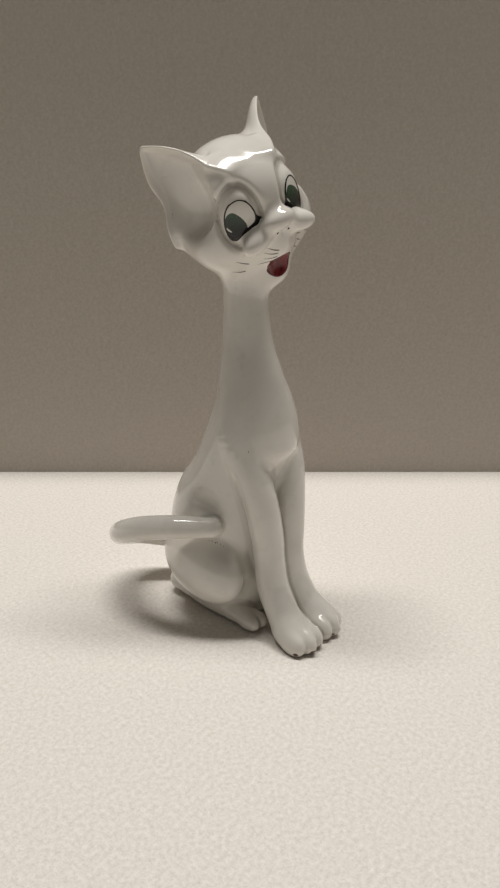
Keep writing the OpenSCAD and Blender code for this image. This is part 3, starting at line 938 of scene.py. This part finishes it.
def tin_white_glaze():
    material, tree = new_finish("tin_white_glaze_on_earthenware")
    where = add(tree, "ShaderNodeTexCoord").outputs["Object"]
    bend = add(tree, "ShaderNodeAttribute", attribute_name="bend").outputs["Fac"]
    foot = add(tree, "ShaderNodeAttribute", attribute_name="foot").outputs["Fac"]
    clouds = spread(tree, noise(tree, where, CLOUD, 3), 0.35, 0.65)
    colour = blend(tree, clouds, linear("#DDD9D1"), linear("#E8E4DC"))
    # Creases are painted darker and greyer: painted shade, on top of the glaze that gathers there.
    pooled_glaze_and_painted_shade = spread(tree, bend, -0.05, -0.6, 0, 0.75)
    colour = blend(tree, pooled_glaze_and_painted_shade, colour, linear("#9E998F"))
    rim = spread(tree, bend, 0.45, 1.4, 0, 0.35)
    colour = blend(tree, rim, colour, linear("#F1E7D6"))
    smear = spread(tree, noise(tree, where, SMEAR, 4, 0.65), 0.56, 0.75, 0, 0.16)
    colour = blend(tree, smear, colour, linear("#A79F91"))
    cell = add(tree, "ShaderNodeTexVoronoi", {"Vector": where, "Scale": PER_MM / SPECK_APART},
               feature="F1")
    chosen = add(tree, "ShaderNodeSeparateColor", {"Color": cell.outputs["Color"]})
    speck_size = spread(tree, chosen.outputs[0], 0.6, 1.0, 0.0, 0.036)
    speck = spread(tree, sum_of(tree, cell.outputs["Distance"], speck_size, "SUBTRACT"), 0.008, -0.004)
    colour = blend(tree, speck, colour, linear("#5B4A3A"))
    ragged = spread(tree, noise(tree, where, CHIP_EDGE, 3), 0.3, 0.7, -0.5, 0.5)
    bare = spread(tree, sum_of(tree, foot, ragged), 0.55, 0.4)
    clay_colour = blend(tree, noise(tree, where, CLAY_GRAIN, 4), linear("#3E2A20"), linear("#6B4C3A"))
    colour = blend(tree, bare, colour, clay_colour)
    gloss = spread(tree, noise(tree, where, GLOSS_PATCH, 2), 0.3, 0.7, 0.07, 0.15)
    gloss = add(tree, "ShaderNodeMix", {0: bare, 2: gloss, 3: 0.85}).outputs[0]
    peel = noise(tree, where, PEEL, 1.5)
    ripple = add(tree, "ShaderNodeBump", {"Height": peel, "Strength": 0.1,
                                          "Distance": PEEL_DEEP * MM})
    pits = add(tree, "ShaderNodeBump", {"Height": sum_of(tree, speck, bare), "Strength": 0.6,
                                        "Distance": PIT_DEEP * MM, "Normal": ripple.outputs[0]},
               invert=True)
    finish_with(tree, Base_Color=colour, Roughness=gloss, IOR=GLAZE_IOR, Specular_IOR_Level=0.5,
                Coat_Weight=0.35, Coat_Roughness=0.05, Normal=pits.outputs[0])
    return material


# %% [markdown]
# ### Painted enamels
#
# Enamel is coloured glass ground to a powder and painted on with oil. It keeps the brush's streaks and
# is a little less glossy than the glaze. Black is dense, and thins to brown at a stroke's edge.
# The green of the iris is laid thinly at the top and twice at the bottom, so it runs nearly to black.

# %% Enamels
IRIS_DEPTH = (0, 10)        # millimetres below the iris's top edge, from the thin paint to the thick


def brushed_enamel(name, dark, light, rough, streak_mm=0.9, drop=None):
    material, tree = new_finish(name)
    where = add(tree, "ShaderNodeTexCoord").outputs["Object"]
    long_streaks = add(tree, "ShaderNodeMapping", {"Vector": where, "Scale": (1, 1, 0.35)}).outputs[0]
    streaks = noise(tree, long_streaks, streak_mm, 3, 0.6)
    amount = spread(tree, streaks, 0.35, 0.7)
    if drop is not None:
        depth = add(tree, "ShaderNodeAttribute", attribute_name="drop").outputs["Fac"]
        thin = spread(tree, depth, *drop, 1, 0)
        amount = sum_of(tree, thin, spread(tree, streaks, 0.3, 0.7, 0.75, 1.15), "MULTIPLY")
    colour = blend(tree, amount, linear(dark), linear(light))
    gloss = spread(tree, streaks, 0.3, 0.7, rough, rough + 0.12)
    grain = add(tree, "ShaderNodeBump", {"Height": streaks, "Strength": 0.12, "Distance": 0.1 * MM})
    finish_with(tree, Base_Color=colour, Roughness=gloss, IOR=ENAMEL_IOR, Normal=grain.outputs[0])
    return material


finishes = {
    "white_glaze": tin_white_glaze(),
    "black_enamel": brushed_enamel("iron_black_enamel_painted", "#0B0A0A", "#1E1A18", 0.12),
    "green_enamel": brushed_enamel("chrome_green_enamel_painted", "#080C08", "#3E5A44", 0.1, 1.4,
                                   IRIS_DEPTH),
    "white_enamel": brushed_enamel("tin_white_enamel_painted", "#D8D6D0", "#EFEDE8", 0.15),
    "red_enamel": brushed_enamel("iron_red_enamel_painted", "#4A1215", "#7C2428", 0.14, 2.2),
    "brown_enamel": brushed_enamel("umber_enamel_thinly_brushed", "#38302A", "#6A5F55", 0.3, 0.5)}
NODE_SLOTS = {"white_glaze": clay, "black_enamel": ["eye_outline_right", "eye_outline_left", "nostrils"],
              "green_enamel": ["iris_right", "iris_left"], "white_enamel": ["catchlights"],
              "red_enamel": ["mouth_enamel"], "brown_enamel": ["whiskers"]}
pieces = {**clay, **paint}
for slot, names in NODE_SLOTS.items():
    for name in names:
        pieces[name].data.materials.append(finishes[slot])
print(len(finishes), "finishes on", len(pieces), "pieces")

# %% [markdown]
# ## Table, backdrop, light and camera
#
# A pale terry cloth lies under the cat and a grey one hangs behind it. One long, narrow light high
# overhead lights the tops of things and leaves their sides to the glow of the table. Its reflection is
# the bright line across the forehead. The room itself gives only a little light.

# %% Table and backdrop
def stage_plane(name, corners, material):
    mesh = bpy.data.meshes.new(name)
    mesh.from_pydata(to_frame(corners).tolist(), [], [(0, 1, 2, 3)])
    mesh.materials.append(material)
    plane = bpy.data.objects.new(name, mesh)
    bpy.context.scene.collection.objects.link(plane)
    return plane


def matt(name, dark, light, size_mm, pile_mm):
    material, tree = new_finish(name)
    where = add(tree, "ShaderNodeTexCoord").outputs["Object"]
    fibre = noise(tree, where, size_mm, 4, 0.7)
    colour = blend(tree, spread(tree, fibre, 0.3, 0.7), linear(dark), linear(light))
    weave = add(tree, "ShaderNodeBump", {"Height": fibre, "Strength": 0.6, "Distance": pile_mm * MM})
    finish_with(tree, Base_Color=colour, Roughness=0.95, Normal=weave.outputs[0])
    return material


VIEW_TURN, VIEW_DOWN = 42, 22     # degrees: the camera looks this far round from the x axis, and down
REACH = 1500
WALL, HEIGHT = 200, 430     # how far behind the cat the cloth hangs, and how high
TUFT = 2.2
TERRY_PILE, COTTON_PILE = 1.6, 0.8
table = np.array([(-1, -1, 0), (1, -1, 0), (1, 1, 0), (-1, 1, 0)]) * REACH
stage_plane("table", table, matt("bleached_cotton_terry", "#DDD7CF", "#F6F2EC", TUFT, TERRY_PILE))
wall = np.array([(WALL, -REACH, 0), (WALL, -REACH, HEIGHT), (WALL, REACH, HEIGHT), (WALL, REACH, 0)])
wall = wall @ turned("z", VIEW_TURN).T
stage_plane("backdrop", wall, matt("grey_brushed_cotton", "#B8B0A6", "#C9C1B7", TUFT, COTTON_PILE))


# %% Lights
def soft_light(name, at, aim, along, length, breadth, power, colour):
    """A rectangle of light at a point, facing another, with its long side running along a direction."""
    data = bpy.data.lights.new(name, "AREA")
    data.shape, data.size, data.size_y = "RECTANGLE", length * MM, breadth * MM
    data.energy = power
    data.color = linear(colour)[:3]
    back = (Vector(at) - Vector(aim)).normalized()
    side = (Vector(along) - Vector(along).dot(back) * back).normalized()
    turn = Matrix([side, back.cross(side), back]).transposed().to_4x4()
    lamp = bpy.data.objects.new(name, data)
    lamp.matrix_world = Matrix.Translation(to_frame(at)) @ turn
    bpy.context.scene.collection.objects.link(lamp)


soft_light("ceiling_tube", at=(170, 90, 2400), aim=(0, 0, 100), along=(0.57, -0.78, -0.25),
           length=1900, breadth=200, power=55, colour="#FFFBF6")

# %% The room's own glow
ROOM_GLOW = 0.07
world = bpy.data.worlds.new("room")
world.use_nodes = True
world.node_tree.nodes["Background"].inputs["Color"].default_value = linear("#E4DDD3")
world.node_tree.nodes["Background"].inputs["Strength"].default_value = ROOM_GLOW
bpy.context.scene.world = world
bpy.context.scene.view_settings.view_transform = "Standard"

# %% Camera
CAMERA_AT = (-267.6, -240.5, 253)
SENSOR, LENS = 36, 27.97
camera_data = bpy.data.cameras.new("camera")
camera_data.sensor_fit = "VERTICAL"
camera_data.sensor_width = camera_data.sensor_height = SENSOR
camera_data.lens = LENS
camera = bpy.data.objects.new("camera", camera_data)
turn, down = math.radians(VIEW_TURN), math.radians(VIEW_DOWN)
ahead = Vector((math.cos(turn) * math.cos(down), math.sin(turn) * math.cos(down), -math.sin(down)))
facing = ahead.to_track_quat("-Z", "Y").to_matrix().to_4x4()
camera.matrix_world = Matrix.Translation(to_frame(CAMERA_AT)) @ facing
bpy.context.scene.collection.objects.link(camera)
bpy.context.scene.camera = camera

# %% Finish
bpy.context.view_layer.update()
